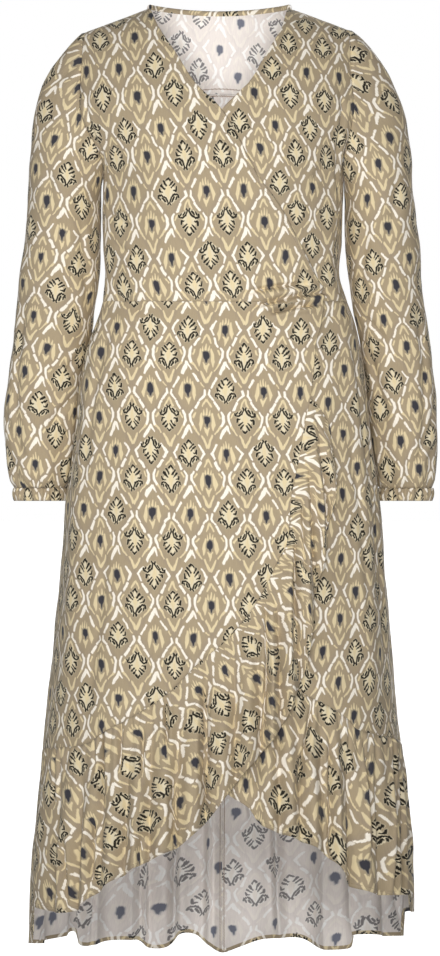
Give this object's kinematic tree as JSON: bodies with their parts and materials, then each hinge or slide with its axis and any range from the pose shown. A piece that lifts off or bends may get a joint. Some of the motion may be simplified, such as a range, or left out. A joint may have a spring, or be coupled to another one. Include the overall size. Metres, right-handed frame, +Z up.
{
  "type": "wrap dress",
  "caption": "Long-sleeved wrap dress with a V neck, a ruffle down its wrap edge and a flounced hem that dips at the back, filled out as if worn.",
  "frame": {"origin": "midway between the neck ends of the two shoulder seams, where the wearer's shoulders hold the dress", "axes": "+Z up along the wearer, -Y to the wearer's front, +X to the wearer's left"},
  "size_m": [0.6092, 0.4083, 1.3259],
  "materials": {
    "printed_cloth": "soft matt printed weave"
  },
  "bodies": {
    "root": {"bodice_front_right": "printed_cloth", "bodice_front_left": "printed_cloth", "bodice_back": "printed_cloth", "back_yoke": "printed_cloth", "neck_binding": "printed_cloth", "skirt_front_right": "printed_cloth", "skirt_front_left": "printed_cloth", "skirt_back_left": "printed_cloth", "skirt_back_right": "printed_cloth", "flounce_front_right": "printed_cloth", "flounce_front_left": "printed_cloth", "flounce_back_left": "printed_cloth", "flounce_back_right": "printed_cloth", "sleeve_right": "printed_cloth", "sleeve_left": "printed_cloth", "cuff_right": "printed_cloth", "cuff_left": "printed_cloth"}
  },
  "joints": []
}
